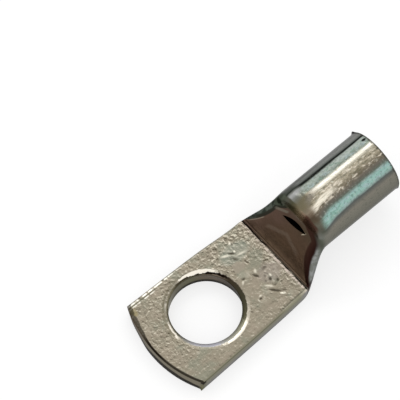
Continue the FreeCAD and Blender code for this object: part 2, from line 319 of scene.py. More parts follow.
def endPoint(angle, turn):
    # the edge of the sheared end, from the palm's faces round to the end face
    point = outerPoint(endX, turn)
    rollTop = mix(lug["endRollTop"], lug["endRollCorner"], ease(3.0, 5.6, point.y))
    roll = mix(lug["endRollLow"], rollTop, ease(0.2, palmTop - 0.2, point.z))
    roll = mix(roll, 0.03, ease(0.945, 0.985, abs(point.y) / endHalf))
    turned = math.radians(angle)
    insetPoint(point, roll * (1 - math.cos(turned)))
    point.x += roll * (1 - math.sin(turned))
    return point


def insetPoint(point, inset):
    # draws a point of the palm's outline in towards the middle of the end
    middle = palmTop / 2
    before = endArc(point.y)
    point.y *= 1 - inset / endHalf
    point.x += endArc(point.y) - before
    point.z = middle + (point.z - middle) * (1 - inset / middle)


def endFace(share, turn):
    point = endPoint(90, turn)
    before = endArc(point.y)
    if share == 1:
        # the last ring closes on itself, its upper and lower points together
        point.y = (point.y + endPoint(90, (0.5 - turn) % 1).y) / 2
    point.z = mix(point.z, palmTop / 2, share)
    point.y *= 1 - 0.9 * share / endHalf
    point.x += endArc(point.y) - before
    return point


def rimPoint(angle, turn):
    # the mouth's edge, from the outside round to the bore
    roll = lug["mouthRound"]
    if angle <= 90:
        radius = tubeRadius - roll * (1 - math.cos(math.radians(angle)))
    else:
        radius = boreRadius + roll * (1 - math.sin(math.radians(angle - 90)))
    x = mouthX - roll * (1 - abs(math.sin(math.radians(angle if angle <= 90 else 180 - angle))))
    y, z = tubeSection(turn, radius, axisHeight, radius, radius, 0, 0, 0, 0)
    return Vector((x, y, z)) + mouthBurr(x, y, z) * (angle <= 90)


def mouthBurr(x, y, z):
    # a large tip at the first angle and a small one at the second
    angle = math.degrees(math.atan2(y, z - axisHeight))
    large, small = (hill(angle, at, 9) for at in lug["burrAngles"])
    burr = large + 0.4 * small
    burr *= lug["mouthBurr"] * ease(mouthX - 0.3, mouthX, x) / tubeRadius
    return Vector((0, y * burr, (z - axisHeight) * burr))


def borePoint(x, turn):
    half, middle, rise = boreRadius, axisHeight, boreRadius
    for a, b in zip(taper, taper[1:]):
        if b[0] <= x < a[0]:
            t = (a[0] - x) / (a[0] - b[0])
            half, middle, rise = (mix(a[k], b[k], t) for k in (1, 2, 3))
    y, z = tubeSection(turn, half, middle, rise, rise, 0, 0, 0, 0)
    return Vector((x, y, z))


def boreClose(x, turn):
    # the bore's last ring, shut to a line
    point = borePoint(x, turn)
    point.z = taper[-1][2]
    return point


def rings(place, start, *runs):
    # even rings from start on, in runs of (end, rough step), without the last end
    rows = []
    for stop, step in runs:
        count = max(1, round(abs(stop - start) / step))
        rows += [(place, mix(start, stop, k / count)) for k in range(count)]
        start = stop
    return rows


def skinRows():
    # every ring of the skin in order, as (function, argument)
    foot, boreClosed = lug["footX"], taper[-1][0]
    rows = [(endFace, share) for share in (1, 0.75, 0.5, 0.25)]
    rows += [(endPoint, angle) for angle in (90, 67, 45, 22, 0)]
    rows += rings(outerPoint, endX + 0.35, (4.6, 0.17), (foot - 0.24, 0.1))
    rows += [(outerPoint, foot + step) for step in (-0.24, -0.16, -0.1, -0.05, 0, 0.05)]
    rows += rings(outerPoint, foot + 0.1, (12.8, 0.09), (14.4, 0.06), (16.2, 0.12),
                  (mouthX - 0.5, 0.5), (mouthX - lug["mouthRound"], 0.1))
    rows += [(rimPoint, angle) for angle in (0, 22, 45, 67, 90, 91, 113, 135, 158, 180)]
    rows += rings(borePoint, mouthX - 0.5, (lug["boreEnd"], 0.7), (boreClosed, 0.2))
    rows += [(borePoint, boreClosed), (boreClose, boreClosed)]
    return rows


def buildSkin():
    rows = skinRows()
    bm = bmesh.new()
    bmesh.ops.create_grid(bm, x_segments=len(rows) - 1, y_segments=lug["columns"], size=1)
    for vert in bm.verts:
        place, where = rows[round((vert.co.x + 1) / 2 * (len(rows) - 1))]
        turn = (vert.co.y + 1) / 2
        vert.co = place(where, 0 if turn > 0.9999 else turn)
        # the shear cut under the left corner, and left a burr at the right one
        x, y, z = vert.co
        if x < -4:
            tuck = lug["endTuck"] * ease(lug["tuckFrom"], endHalf, y) * (1 - z / palmTop)
            burr = lug["burr"] * hill(y, -endHalf, 0.25) * hill(z, 0.3, 0.5)
            vert.co.x += tuck * ease(-4, -5.5, x) - burr * ease(-4.8, -5.2, x)
    bmesh.ops.remove_doubles(bm, verts=bm.verts, dist=lug["mergeWithin"])
    bmesh.ops.recalc_face_normals(bm, faces=bm.faces)
    return makeObject("skin", bm)


def linkObject(name, data):
    thing = bpy.data.objects.new(name, data)
    bpy.context.scene.collection.objects.link(thing)
    return thing


def makeObject(name, bm):
    # an object in metres from a bmesh in millimetres
    bmesh.ops.scale(bm, vec=(mm, mm, mm), verts=bm.verts)
    mesh = bpy.data.meshes.new(name)
    bm.to_mesh(mesh)
    bm.free()
    return linkObject(name, mesh)


# the punched stud hole and the squashed inspection hole
cuts = {
    "rimWide": 0.9,            # upper rim of the stud hole, drawn in by the punch
    "rimDeep": 0.35,
    "rimIn": 0.15,             # its narrowest ring is tighter than the hole
    "rimAside": 0.15,          # and off towards the left side
    "studAside": (0.07, 0.09),  # the punch sat a little off the middle
    "studSteps": 144,
    "slitLong": 3.5,
    "slitLow": 0.2,            # width towards the palm and towards the barrel
    "slitHigh": 0.48,
    "slitTurn": 6,             # right end further up the ramp
    "slitUp": 4.80,            # along the ramp from its foot
    "slitSide": -0.05,
    "slitDeep": 2.4,
}


def closeEnds(bm):
    bmesh.ops.holes_fill(bm, edges=[edge for edge in bm.edges if edge.is_boundary], sides=0)
    bmesh.ops.recalc_face_normals(bm, faces=bm.faces)


def buildStudCutter():
    bm = bmesh.new()
    profile = [(studRadius, -1.0), (studRadius, palmTop - 1.1),
               (studRadius - cuts["rimIn"] * 0.5, palmTop - 0.6)]
    for angle in (0, 12, 24, 36, 48, 60, 70):
        turn = math.radians(angle)
        profile.append((studRadius - cuts["rimIn"] + cuts["rimWide"] * (1 - math.cos(turn)),
                        palmTop - cuts["rimDeep"] * (1 - math.sin(turn))))
    # the last slope carries on above the palm
    (x0, z0), (x1, z1) = profile[-2:]
    profile.append((x1 + (x1 - x0) * 4, z1 + (z1 - z0) * 4))
    verts = [bm.verts.new((radius, 0, z)) for radius, z in profile]
    edges = [bm.edges.new(pair) for pair in zip(verts, verts[1:])]
    bmesh.ops.spin(bm, geom=verts + edges, cent=(0, 0, 0), axis=(0, 0, 1),
                   angle=math.tau, steps=cuts["studSteps"], use_merge=True)
    closeEnds(bm)
    asideX, asideY = cuts["studAside"]
    for vert in bm.verts:
        drawn = hill(vert.co.z, palmTop - cuts["rimDeep"], 0.35)
        vert.co.x += asideX * (1 - drawn)
        vert.co.y += asideY + cuts["rimAside"] * drawn
    return makeObject("studCutter", bm)


def buildSlitCutter():
    bm = bmesh.new()
    # rings from deep inside the ramp to above it, as (height, growth)
    levels = ((-cuts["slitDeep"], 1.0), (-0.07, 1.0), (-0.02, 1.04), (0.01, 1.1), (0.3, 1.6))
    for height, grow in levels:
        ring = bmesh.ops.create_circle(bm, segments=48, radius=1)["verts"]
        # pointed ends, straight on the palm's side and bowed on the barrel's
        for vert in ring:
            bow = math.copysign(1 - vert.co.y ** 2, vert.co.x)
            vert.co.x = bow * (cuts["slitHigh"] if bow > 0 else cuts["slitLow"])
            vert.co.y *= cuts["slitLong"] / 2
            vert.co.z = height
        bmesh.ops.scale(bm, verts=ring, vec=(grow, mix(1, grow, 0.25), 1))
    bmesh.ops.bridge_loops(bm, edges=bm.edges[:])
    closeEnds(bm)
    for angle, axis in ((math.radians(cuts["slitTurn"]), "Z"), (-rampSlope, "Y")):
        bmesh.ops.rotate(bm, verts=bm.verts, matrix=Matrix.Rotation(angle, 3, axis))
    centre = (lug["footX"] + cuts["slitUp"] * math.cos(rampSlope), cuts["slitSide"],
              palmTop + cuts["slitUp"] * math.sin(rampSlope))
    bmesh.ops.translate(bm, verts=bm.verts, vec=centre)
    return makeObject("slitCutter", bm)


def buildLug():
    skin = buildSkin()
    cutters = [buildStudCutter(), buildSlitCutter()]
    for cutter in cutters:
        cut = skin.modifiers.new(cutter.name, "BOOLEAN")
        cut.operation = "DIFFERENCE"
        cut.solver = "EXACT"
        cut.object = cutter
    bpy.context.view_layer.update()
    shaped = skin.evaluated_get(bpy.context.evaluated_depsgraph_get())
    mesh = bpy.data.meshes.new_from_object(shaped)
    for used in cutters + [skin]:
        bpy.data.objects.remove(used)
    mesh.name = "lug"
    bm = bmesh.new()
    bm.from_mesh(mesh)
    bmesh.ops.remove_doubles(bm, verts=bm.verts, dist=lug["mergeWithin"] * mm)
    for face in bm.faces:
        face.smooth = True
    for edge in bm.edges:
        edge.smooth = edge.calc_face_angle(0) < math.radians(lug["crispAngle"])
    # how deep or proud each point of the palm is, for its painted shade and highlight, with 0.5 for
    # level
    press = bm.verts.layers.float.new("press")
    for vert in bm.verts:
        x, y, z = vert.co / mm
        marked = x < lug["footX"] and z > palmTop - 0.2
        vert[press] = 0.5 + (palmMarks(x, y) * lug["markGain"] if marked else 0)
    print("skin", len(bm.verts), "points,", sum(len(face.verts) - 2 for face in bm.faces),
          "triangles,", sum(not edge.is_manifold for edge in bm.edges), "open edges")
    bm.to_mesh(mesh)
    bm.free()
    return linkObject("lug", mesh)


# shader maths
class Flow:
    def __init__(self, finish, socket):
        self.finish, self.socket = finish, socket

    def maths(self, operation, *others):
        return self.finish.node("ShaderNodeMath", {"operation": operation}, [self, *others])

    def __add__(self, other):
        return self.maths("ADD", other)

    __radd__ = __add__

    def __sub__(self, other):
        return self.maths("SUBTRACT", other)

    def __rsub__(self, other):
        return self.finish.node("ShaderNodeMath", {"operation": "SUBTRACT"}, [other, self])

    def __mul__(self, other):
        return self.maths("MULTIPLY", other)

    __rmul__ = __mul__

    def __truediv__(self, other):
        return self.maths("DIVIDE", other)

    def __pow__(self, other):
        return self.maths("POWER", other)

    def __abs__(self):
        return self.maths("ABSOLUTE")

    def fade(self, low, high, start=0.0, stop=1.0):
        # start where the value is low and stop where it is high, and smooth between
        return self.finish.node("ShaderNodeMapRange", {"interpolation_type": "SMOOTHSTEP"},
                                {"Value": self, "From Min": low, "From Max": high,
                                 "To Min": start, "To Max": stop})

    def band(self, low, high, soft):
        # 1 between low and high, and smooth outside
        return self.fade(low - soft, low) * self.fade(high + soft, high)


def spot(x, y, middleX, middleY, long, wide):
    # 1 in the middle of an oval and 0 at its edge
    across, up = (x - middleX) / long, (y - middleY) / wide
    return (across * across + up * up).fade(1.0, 0.3)


def setStops(ramp, stops):
    while len(ramp.elements) < len(stops):
        ramp.elements.new(0.5)
    for element, (place, colour) in zip(ramp.elements, stops):
        element.position = place
        element.color = colour


class Finish:
    def __init__(self, owner, shader="Principled BSDF"):
        owner.use_nodes = True
        self.tree = owner.node_tree
        self.shader = self.tree.nodes[shader]

    def node(self, kind, settings=None, inputs=(), output=0):
        made = self.tree.nodes.new(kind)
        for name, value in (settings or {}).items():
            if name == "stops":
                setStops(made.color_ramp, value)
            else:
                setattr(made, name, value)
        pairs = inputs.items() if isinstance(inputs, dict) else enumerate(inputs)
        for name, value in pairs:
            self.feed(made.inputs[name], value)
        return Flow(self, made.outputs[output])

    def feed(self, socket, value):
        if isinstance(value, Flow):
            self.tree.links.new(value.socket, socket)
        else:
            socket.default_value = value

    def set(self, name, value):
        self.feed(self.shader.inputs[name], value)

    def outputs(self, flow, *names):
        return [Flow(self, flow.socket.node.outputs[name]) for name in names]

    def place(self):
        # object coordinates in millimetres, as a vector and as three numbers
        where = self.node("ShaderNodeTexCoord", output="Object")
        scaled = self.vectorMaths("SCALE", {0: where, "Scale": 1 / mm})
        parts = self.node("ShaderNodeSeparateXYZ", None, [scaled])
        return scaled, *self.outputs(parts, "X", "Y", "Z")

    def vectorMaths(self, operation, inputs, output="Vector"):
        return self.node("ShaderNodeVectorMath", {"operation": operation}, inputs, output)

    def vector(self, x, y, z):
        return self.node("ShaderNodeCombineXYZ", None, [x, y, z])

    def distance(self, x, y, z):
        return self.vectorMaths("LENGTH", [self.vector(x, y, z)], "Value")

    def degrees(self, up, along):
        return self.node("ShaderNodeMath", {"operation": "ARCTAN2"}, [up, along]) * math.degrees(1)

    def noise(self, vector, scale, detail, roughness=0.55, distortion=0.0):
        return self.node("ShaderNodeTexNoise", None, {
            "Vector": vector, "Scale": scale, "Detail": detail, "Roughness": roughness,
            "Distortion": distortion})

    def ramp(self, value, stops, low, high):
        # colours at values between low and high
        placed = [((at - low) / (high - low), paint(colour)) for at, colour in stops]
        share = self.node("ShaderNodeMapRange", None,
                          {"Value": value, "From Min": low, "From Max": high})
        return self.node("ShaderNodeValToRGB", {"stops": placed}, [share])

    def blend(self, amount, a, b):
        # a Mix node has its colours at inputs 6 and 7 and output 2, and its numbers at 2, 3 and 0
        return self.node("ShaderNodeMix", {"data_type": "RGBA"},
                         {0: amount, 6: paint(a), 7: paint(b)}, 2)

    def blendValue(self, amount, a, b):
        return self.node("ShaderNodeMix", {"data_type": "FLOAT"}, {0: amount, 2: a, 3: b})


class Coat:
    # the finish so far, which each further layer covers where its mask is 1
    def __init__(self, finish, colour, rough=None, height=None):
        self.finish, self.colour, self.rough, self.height = finish, colour, rough, height

    def lay(self, mask, colour, rough=None):
        self.colour = self.finish.blend(mask, self.colour, colour)
        if rough is not None:
            self.rough = self.finish.blendValue(mask, self.rough, rough)


def paint(colour):
    # a name in tin, or a colour as it looks on screen, as the linear numbers that shaders take
    if isinstance(colour, Flow):
        return colour
    parts = [part / 255 for part in (tin[colour] if isinstance(colour, str) else colour)]
    return tuple(c / 12.92 if c <= 0.04045 else ((c + 0.055) / 1.055) ** 2.4 for c in parts) + (1,)


# tinned copper, as it comes off the press, with painted light, shade and reflections among the
# colours
tin = {
    "palmDark": (84, 78, 64),
    "palmBody": (146, 138, 121),
    "palmBright": (214, 206, 188),
    "palmCool": (128, 134, 118),
    "palmWarm": (158, 146, 130),
    "scratchCool": (142, 150, 138),
    "smoothPatch": (150, 141, 126),
    "greyPatch": (154, 144, 136),
    "dirt": (62, 56, 44),
    "shine": (236, 230, 212),
    "burnished": (214, 200, 188),
    "foldLine": (86, 88, 72),
    "foldBright": (250, 247, 234),
    "foldOlive": (76, 78, 56),
    "oily": (150, 136, 92),
    # sides and sheared end
    "side": (150, 148, 146),
    "sideDark": (136, 134, 130),
    "sideOlive": (140, 138, 116),
    "sideFold": (92, 89, 74),
    "sideLow": (84, 82, 76),
    "underside": (140, 137, 126),
    "end": (136, 129, 112),
    "endEdge": (34, 28, 20),
    "endBrown": (84, 70, 54),
    "endOlive": (112, 112, 86),
    # stud hole
    "wallDark": (34, 28, 18),
    "rimBlack": (20, 13, 7),
    "rimBrown": (40, 34, 22),
    "rimGrey": (70, 68, 58),
    "rimOuter": (104, 98, 76),
    "rimBurnished": (252, 245, 230),
    # barrel
    "barrelDull": (136, 137, 134),
    "patchDark": (92, 88, 68),
    "patchBright": (226, 216, 198),
    "stripEdge": (146, 141, 126),
    "stripPatch": (170, 164, 148),
    "stripEnd": (134, 127, 114),
    "brightStreak": (246, 238, 220),
    "tealPale": (168, 186, 190),
    "tealDeep": (112, 150, 134),
    "tealWhite": (178, 186, 180),
    "fleckDark": (84, 86, 78),
    "fleckBright": (200, 204, 192),
    "mouthLip": (66, 64, 56),
    "mouthBlack": (24, 24, 22),
    "mouthSpot": (30, 32, 30),
    "mouthFace": (96, 96, 90),
    "inside": (92, 89, 82),
    # neck and ramp
    "flareNear": (142, 144, 142),
    "flareNearDull": (114, 116, 110),
    "neckNear": (84, 88, 77),
    "flareFar": (46, 52, 45),
    "flareFarPale": (82, 88, 80),
    "neckFar": (24, 28, 20),
    "neckFarPale": (64, 70, 58),
    "rampWarm": (86, 68, 60),
    "rampMottle": (68, 54, 42),
    "rampSheen": (108, 94, 82),
    "rampEdge": (40, 22, 19),
    "rampEdgePale": (54, 36, 29),
    "rampFar": (44, 43, 36),
    "rampRidge": (130, 118, 104),
    "rampFoot": (22, 15, 11),
    "crestWorn": (120, 116, 104),
    "slit": (9, 6, 5),
    "slitGlint": (190, 178, 156),
}

# noise of the tin's grain and lumps, as scale, detail, roughness and distortion
grainNoise = (2.7, 3, 0.6, 0.5)
lumpNoise = (1.5, 4, 0.6, 0.9)

# painted reflections along the barrel, by the angle round it from its top, plus towards the left
# side
reflectionStreaks = [
    (-100, (108, 107, 98)), (-66, (118, 116, 106)), (-57, (124, 120, 110)), (-50.5, (98, 99, 94)),
    (-47.5, (88, 92, 90)), (-45, (136, 156, 150)), (-40, (150, 186, 176)), (-34, (148, 184, 176)),
    (-30.5, (130, 152, 144)), (-27.5, (98, 104, 94)), (-23, (106, 101, 92)), (-16, (124, 114, 98)),
    (-11, (142, 133, 114)), (-6, (174, 164, 143)), (-2, (170, 161, 141)), (1.5, (150, 142, 122)),
    (4, (130, 124, 107)), (6.5, (180, 175, 162)), (9.5, (206, 202, 192)), (12, (206, 203, 194)),
    (14, (150, 152, 142)), (17, (124, 132, 120)), (25, (166, 178, 168)), (29, (166, 174, 164)),
    (32, (110, 118, 108)), (34.3, (20, 24, 22)), (38, (24, 26, 24)), (41, (102, 106, 102)),
    (47, (124, 126, 122)), (55, (88, 89, 86)), (66, (136, 136, 133)), (100, (158, 158, 155)),
]

# the same round the shoulder
shoulderReflections = [
    (-100, (120, 119, 108)), (-66, (116, 115, 106)), (-58, (80, 82, 72)), (-50, (88, 86, 76)),
    (-42, (98, 96, 84)), (-34, (86, 76, 62)), (-26, (80, 68, 55)), (-20, (106, 92, 77)),
    (-14, (134, 121, 104)), (-7, (122, 112, 94)), (0, (116, 108, 86)), (12, (110, 104, 84)),
    (20, (112, 112, 102)), (25, (128, 130, 124)), (28, (158, 159, 157)), (32, (164, 165, 163)),
    (35, (120, 122, 116)), (37.5, (38, 42, 36)), (42, (70, 74, 68)), (56, (96, 96, 92)),
    (64, (160, 161, 158)), (100, (180, 180, 178)),
]

# and painted reflections and shade across the pressed step between the ramp and the shoulder
crest = [
    (-3.4, (112, 114, 108)), (-2.8, (92, 88, 80)), (-1.9, (54, 36, 28)), (-1.1, (56, 38, 30)),
    (-0.4, (90, 74, 60)), (0.1, (104, 90, 76)), (0.7, (92, 80, 63)), (1.3, (74, 66, 52)),
    (1.7, (64, 62, 44)), (2.3, (52, 54, 42)), (2.9, (50, 55, 43)), (3.4, (62, 66, 56)),
]

# painted reflections over the steep start of the shoulder, lighter than they look, as that face
# also mirrors the palm
shoulderFoot = [
    (-3.0, (96, 96, 84)), (-2.4, (74, 54, 45)), (-1.2, (70, 49, 40)), (-0.8, (86, 62, 50)),
    (-0.5, (132, 110, 92)), (0.1, (140, 124, 102)), (0.6, (108, 98, 76)), (1.0, (90, 84, 64)),
    (1.4, (76, 74, 56)), (2.1, (84, 83, 74)), (2.7, (76, 80, 68)), (3.2, (92, 100, 88)),
]

# brightness of the painted highlight on the stud hole's rim, by the angle round it from the barrel
rimHighlight = [
    (-180, 0.8), (-170, 0.3), (-126, 0.2), (-106, 0.4), (-98, 0.85), (-60, 0.85), (-52, 0.5),
    (-34, 0.4), (-20, 0.1), (30, 0.1), (40, 0.95), (86, 1.0), (94, 0.3), (122, 0.1), (130, 0.7),
    (138, 0.2), (158, 0.2), (164, 0.9), (180, 0.8),
]

# painted light and shade of the slope under it
rimLightAndShade = [
    (-180, (104, 100, 86)), (-165, (130, 128, 120)), (-150, (156, 155, 160)),
    (-114, (160, 159, 166)), (-102, (142, 141, 132)), (-66, (118, 116, 98)), (-50, (66, 64, 48)),
    (-20, (62, 60, 46)), (12, (60, 52, 40)), (26, (22, 15, 8)), (60, (22, 15, 8)),
    (76, (52, 45, 30)), (90, (84, 78, 60)), (115, (122, 116, 95)), (155, (134, 128, 110)),
    (180, (104, 100, 86)),
]

# and painted light and shade of the punched wall
wallLightAndShade = [
    (-180, (104, 97, 80)), (-60, (62, 60, 45)), (-20, (46, 43, 32)), (10, (62, 54, 42)),
    (35, (112, 100, 88)), (55, (112, 101, 84)), (70, (106, 104, 80)), (100, (108, 104, 84)),
    (130, (146, 140, 118)), (165, (140, 134, 115)), (180, (104, 97, 80)),
]

# painted reflections on the ramp, from its foot up
rampTones = [
    (0, (96, 80, 66)), (0.2, (112, 96, 81)), (0.45, (138, 117, 98)), (0.7, (106, 87, 71)),
    (1.0, (95, 78, 63)), (2, (90, 72, 57)), (4, (84, 67, 54)), (5, (74, 62, 49)), (7, (82, 70, 58)),
]


def tinnedCopper():
    material = bpy.data.materials.new("tinnedCopper")
    finish = Finish(material)
    vector, x, y, z = finish.place()
    grain = finish.noise(vector, *grainNoise)
    broad = finish.noise(vector, 0.6, 3)
    coat = palmFinish(finish, vector, x, y, grain, broad)
    sideFinish(finish, coat, x, y, z, broad)
    endFinish(coat, x, y, z, grain)
    holeFinish(finish, coat, x, y, z, grain)
    barrelFinish(finish, coat, vector, x, y, z)
    rampFinish(finish, coat, vector, x, y, z, broad)
    insideFinish(finish, coat, x, y, z)
    finish.set("Base Color", coat.colour)
    finish.set("Metallic", 1.0)
    finish.set("Specular Tint", (0.6, 0.6, 0.6, 1))
    finish.set("Roughness", coat.rough)
    bump = finish.node("ShaderNodeBump", None, {"Height": coat.height, "Distance": mm})
    finish.set("Normal", bump)
    return material


def palmFinish(finish, vector, x, y, grain, broad):
    # grain of the tin, each lump with painted light on one side and painted shade on the other,
    # coarser and rougher towards the ramp
    aside = finish.vectorMaths("ADD", [vector, (0.11, 0.09, 0.0)])
    lumps, lumpsAside = (finish.noise(place, *lumpNoise) for place in (vector, aside))
    worn = x.fade(2.8, 7.0)
    amount = (1.0 + x.fade(7.7, 8.9) * y.fade(-4.5, 1.0) * 0.35
              + x.fade(3.2, 5.0) * y.fade(2.2, 3.6) * 0.3
              - spot(x, y, 6.2, -1.6, 2.6, 3.4) * 0.65 - y.fade(-2.5, -4.5) * 0.35)
    grainAndShade = (((grain - finish.noise(aside, *grainNoise)) * 0.86 + (grain - 0.5) * 0.62) * amount
              + (lumps - lumpsAside) * (worn * 0.75 + 0.3))
    tones = [(-0.3, "palmDark"), (-0.05, "palmBody"), (0.05, "palmBody"), (0.3, "palmBright")]
    coat = Coat(finish, finish.ramp(grainAndShade, tones, -0.5, 0.5),
                grain.fade(0.3, 0.7, 0.40, 0.50), grain * 0.012)
    coat.lay(broad.fade(0.48, 0.66) * 0.4, "palmCool")
    coat.lay(broad.fade(0.46, 0.34) * 0.4, "palmWarm")
    # a cool tint round the long scratch, and smooth patches beside it
    coat.lay(spot(x, y, 6.7, 3.0, 2.3, 1.3) * 0.45, "scratchCool")
    coat.lay(spot(x + (broad - 0.5) * 2, y, 6.0, 1.5, 0.95, 0.75) * 0.85, "smoothPatch")
    coat.lay(spot(x, y, 8.1, -1.2, 1.7, 1.4) * 0.4, "greyPatch")
    # dents painted dark as shade and burrs painted pale as highlight, to show their relief
    press = finish.node("ShaderNodeAttribute", {"attribute_name": "press"}, output="Fac")
    coat.lay(press.fade(0.47, 0.12) * 0.85, "dirt")
    coat.lay(press.fade(0.53, 0.8) * 0.9, "shine")
    # painted highlight along the ramp's foot
    foot = lug["footX"]
    bright = grainAndShade.fade(-0.12, 0.08, 0.1, 1.0) * y.fade(3.0, -1.0, 0.45, 0.9)
    coat.lay(x.band(foot - 0.42, foot - 0.22, 0.1) * bright, "burnished")
    # folds, by how far in from the palm's long edge: painted highlight lines round a painted shade
    # line on the left
    edge = 5.985 - x * 0.031 - x * x * 0.0011 - abs(y)
    left, right = y.fade(2.0, 3.0), y.fade(-2.0, -3.0)
    dashes = finish.noise(finish.vector(x * 1.2, 0.0, 0.0), 1.0, 2).fade(0.42, 0.52)
    lines = edge.band(0.2, 0.34, 0.06) * x.fade(1.8, -1.5, 0.15, 1.0)
    lines = lines + edge.band(0.6, 0.66, 0.07) * x.fade(-2.2, -3.4) * 0.8
    coat.lay(left * edge.band(0.44, 0.52, 0.06) * x.fade(-1.0, -3.5) * 0.6, "foldLine")
    coat.lay((left * lines * dashes).maths("MINIMUM", 1.0), "foldBright")
    # painted olive shade where the left edge rounds over
    coat.lay(left * edge.band(-0.3, 0.08, 0.08) * x.fade(-2.0, -0.5) * 0.7, "foldOlive")
    # oily tint in the left corner of the end
    coat.lay(spot(x, y, -6.15, 5.1, 0.4, 0.8) * 0.5, "oily")
    # on the right a painted shade line and a painted highlight line, near the ramp
    coat.lay(right * edge.band(0.26, 0.4, 0.07) * x.fade(5.0, 7.0) * 0.5, "foldLine")
    coat.lay(right * edge.band(0.1, 0.2, 0.07) * x.fade(5.6, 7.4) * 0.36, "shine")
    return coat


def sideFinish(finish, coat, x, y, z, broad):
    side = z.fade(palmTop - 0.1, palmTop - 0.4)
    coat.lay(side, finish.blend(broad.fade(0.4, 0.62), "side", "sideDark"), 0.36)
    coat.lay(z.fade(0.2, 0.02), "underside", 0.42)
    # olive strip under the right fold, with a painted shade line along its top
    right = y.fade(-4.5, -5.2) * x.fade(9.6, 8.6)
    strip = z.fade(palmTop - 1.5, palmTop - 1.0) * z.fade(palmTop - 0.02, palmTop - 0.12)
    line = z.band(palmTop - 0.33, palmTop - 0.19, 0.07)
    coat.lay(strip * right * 0.85, "sideOlive")
    coat.lay(line * right * x.fade(7.0, 5.2) * 0.65, "sideFold")
    coat.lay(z.band(0.1, 0.5, 0.25) * right * 0.75, "sideLow")


def endFinish(coat, x, y, z, grain):
    # sheared end: a dull face between two edges in painted shade
    radius = lug["endRadius"]
    crown = (radius * radius - y * y).maths("MAXIMUM", 0.0) ** 0.5
    tucked = y.fade(lug["tuckFrom"], endHalf) * (1 - z / palmTop) * lug["endTuck"]
    skew = y.fade(lug["skewFrom"], endHalf) * lug["endSkew"]
    inward = x - endX - radius + crown + skew - tucked
    near = x.fade(-4.0, -4.6)
    coat.lay(near * inward.fade(0.09, 0.03), "end", 0.45)
    roll = y.fade(0.5, 4.6, 0.2, 0.5) + (grain - 0.5) * y.fade(0.5, 4.6, 0.15, 0.7)
    upper = z.fade(palmTop - 0.38, palmTop - 0.2) * (inward - roll).fade(0.06, -0.04)
    coat.lay(near * upper * y.fade(3.4, 1.0, 0.75, 1.0) * y.fade(-2.0, -0.5, 0.9, 1.0), "endEdge")
    coat.lay(near * inward.fade(0.12, 0.06) * y.fade(0.5, 4.0) * 0.75, "endBrown")
    low = y.fade(2.0, 0.0, 0.55, 0.85) - y.fade(-4.5, -5.5) * 0.2
    low = low + y.band(-2.6, 2.0, 1.5) * 0.18
    coat.lay(near * inward.fade(0.2, 0.08) * z.fade(low + 0.22, low), "endEdge")
    # the right corner, with painted shade under its fold and olive further down
    corner = near * inward.fade(0.5, 0.3)
    coat.lay(corner * y.fade(-5.75, -5.95) * z.band(palmTop - 0.65, palmTop - 0.25, 0.1), "endEdge")
    coat.lay(corner * y.fade(-5.6, -6.0) * z.fade(palmTop - 0.7, palmTop - 0.9) * 0.7, "endOlive")


def holeFinish(finish, coat, x, y, z, grain):
    asideX, asideY = cuts["studAside"]
    reach = finish.distance(x - asideX, y - asideY, 0.0)
    around = finish.degrees(y, x)
    uneven = (grain - 0.5) * 0.3
    out = reach + uneven - studRadius
    # the punched wall in painted light and shade by the angle round it, with painted shade low in
    # it
    wallShading = finish.ramp(around, wallLightAndShade, -180, 180)
    wall = z.fade(palmTop - 0.4, palmTop - 0.6) * reach.fade(studRadius + 0.2, studRadius + 0.1)
    coat.lay(wall, wallShading, 0.35)
    coat.lay(wall * z.fade(0.85, 0.4) * around.fade(-50, -10) * around.fade(125, 85), "wallDark")
    # the rim's slope in painted light and shade, dark at its narrowest ring, and bands of painted
    # shade round it
    slope = z.fade(palmTop - 0.6, palmTop - 0.4) * out.fade(0.32, 0.22)
    coat.lay(slope, finish.ramp(around + uneven * 100, rimLightAndShade, -180, 180), 0.3)
    far = around.fade(8, 24) * around.fade(160, 120)
    coat.lay(slope * out.fade(0.08, 0.0) * far, wallShading)
    upper = z.fade(palmTop - 0.7, palmTop - 0.5)
    coat.lay(out.band(0.02, 0.2, 0.06) * around.fade(14, 26) * around.fade(80, 58) * upper,
             "rimBlack")
    coat.lay(out.band(0.08, 0.2, 0.05) * around.fade(55, 70) * around.fade(110, 90) * upper * 0.7,
             "rimBrown")
    coat.lay(slope * z.fade(palmTop - 0.24, palmTop - 0.3) * 0.5, "rimGrey")
    # a faint ring of painted shade outside the rim
    coat.lay(out.band(0.5, 0.66, 0.08) * around.fade(85, 110) * 0.45, "rimOuter")
    coat.lay(out.band(0.5, 0.62, 0.06) * around.fade(-150, -170) * 0.45, "rimOuter")
    # painted highlight arcs on the rim
    greys = [(at, (255 * value,) * 3) for at, value in rimHighlight]
    shine = finish.ramp(around + (grain - 0.5) * 30, greys, -180, 180)
    inner = around.fade(-20, 20, 0.27, 0.24)
    inner = inner - spot(around, 0.0, 62, 0.0, 16, 1.0) * 0.12
    wide = around.fade(-20, 20, 0.55, 0.5) - around.fade(60, 88) * 0.12
    coat.lay(out.band(inner, wide, 0.06) * shine, "rimBurnished", 0.25)


